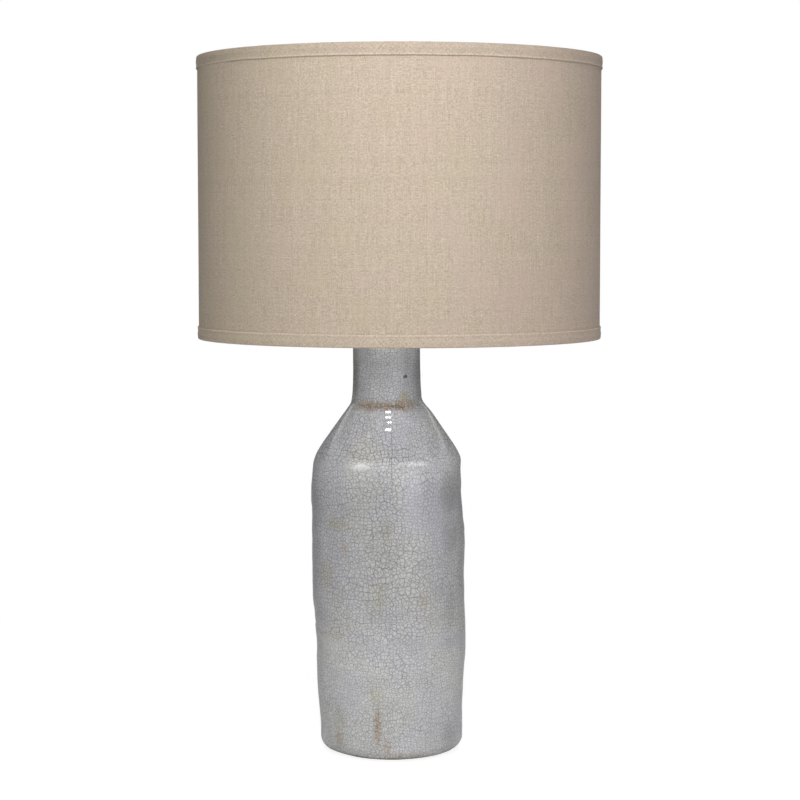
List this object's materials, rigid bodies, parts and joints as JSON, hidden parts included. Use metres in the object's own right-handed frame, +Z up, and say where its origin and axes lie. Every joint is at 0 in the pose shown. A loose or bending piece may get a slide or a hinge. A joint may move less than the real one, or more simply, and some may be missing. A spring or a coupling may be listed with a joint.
{
  "type": "table lamp",
  "caption": "Table lamp with a tall bottle-shaped crackle-glazed stoneware base, a harp, a screw-in bulb with a turn-knob socket, and a linen drum shade with bound edges.",
  "frame": {"origin": "on the surface that the lamp stands on, under the middle of the shade", "axes": "+Z up; -Y is the front, where the switch knob points; +X to the right seen from the front"},
  "size_m": [0.4063, 0.4064, 0.7128],
  "materials": {
    "glazed_stoneware": "pale grey crackle glaze, glossy",
    "felt": "dark green felt",
    "black_plastic": "matt black moulding",
    "steel": "zinc plated steel, satin",
    "antique_brass": "aged brass, satin",
    "brass": "polished brass",
    "paper_board": "dark fibre paper",
    "porcelain": "unglazed cream porcelain",
    "aluminium": "bright rolled metal",
    "bulb_white": "white moulding",
    "bulb_frost": "frosted white",
    "board_white": "white coated board",
    "linen": "oatmeal linen with slubs",
    "liner": "white translucent sheet",
    "white_wire": "white coated wire"
  },
  "bodies": {
    "root": {"ceramic_bottle": "glazed_stoneware", "felt_pad": "felt", "cord_bushing": "black_plastic", "foot_washer": "steel", "lock_washer": "steel", "foot_nut": "steel", "threaded_pipe": "steel", "vase_cap": "antique_brass", "brass_collar": "antique_brass", "check_ring": "antique_brass", "harp_saddle": "antique_brass", "lock_nut": "steel", "socket_cap": "brass", "cap_set_screw": "steel", "socket_shell": "brass", "socket_insulator": "paper_board", "socket_core": "porcelain", "terminal_screws": "brass", "screw_shell": "aluminium", "center_contact": "brass"},
    "harp": {"harp_bow": "antique_brass", "harp_post": "antique_brass"},
    "sleeve_left": {"harp_sleeve_left": "antique_brass"},
    "sleeve_right": {"harp_sleeve_right": "antique_brass"},
    "switch": {"switch_stem": "steel", "switch_knob": "black_plastic"},
    "bulb_cap": {"bulb_contact": "steel", "bulb_insulator": "black_plastic", "bulb_base": "aluminium"},
    "bulb": {"bulb_housing": "bulb_white", "bulb_diffuser": "bulb_frost", "led_board": "board_white"},
    "shade": {"shade_linen": "linen", "shade_liner": "liner", "linen_seam": "linen", "top_ring": "white_wire", "bottom_ring": "white_wire", "top_binding": "linen", "bottom_binding": "linen", "spider_wires": "white_wire", "spider_hub": "white_wire"},
    "finial_thread": {"finial_bush": "antique_brass"},
    "finial": {"finial_knob": "antique_brass"}
  },
  "joints": [
    {"name": "harp_lift", "type": "slide", "parent": "root", "child": "harp", "axis": [0, 0, 1], "range_m": [0, 0.02]},
    {"name": "sleeve_left_lift", "type": "slide", "parent": "harp", "child": "sleeve_left", "axis": [0, 0, 1], "range_m": [0, 0.018]},
    {"name": "sleeve_right_lift", "type": "slide", "parent": "harp", "child": "sleeve_right", "axis": [0, 0, 1], "range_m": [0, 0.018]},
    {"name": "shade_turn", "type": "hinge", "parent": "harp", "child": "shade", "pos_m": [0, 0, 0.6915], "axis": [0, 0, 1], "continuous": true},
    {"name": "switch_turn", "type": "hinge", "parent": "root", "child": "switch", "pos_m": [-0.0133, -0.0154, 0.4823], "axis": [0, -1, 0], "continuous": true},
    {"name": "bulb_lift", "type": "slide", "parent": "root", "child": "bulb_cap", "axis": [0, 0, 1], "range_m": [0, 0.02179]},
    {"name": "bulb_turn", "type": "hinge", "parent": "bulb_cap", "child": "bulb", "pos_m": [-0.0133, 0, 0.4922], "axis": [0, 0, 1], "range_deg": [0, 2160]},
    {"name": "finial_lift", "type": "slide", "parent": "harp", "child": "finial_thread", "axis": [0, 0, 1], "range_m": [0, 0.00847]},
    {"name": "finial_turn", "type": "hinge", "parent": "finial_thread", "child": "finial", "pos_m": [0, 0, 0.6915], "axis": [0, 0, 1], "range_deg": [0, 3240]}
  ],
  "couplings": [
    {"joint": "bulb_lift", "follows": "bulb_turn", "m_per_rad": 0.00057773},
    {"joint": "finial_lift", "follows": "finial_turn", "m_per_rad": 0.00014961}
  ]
}
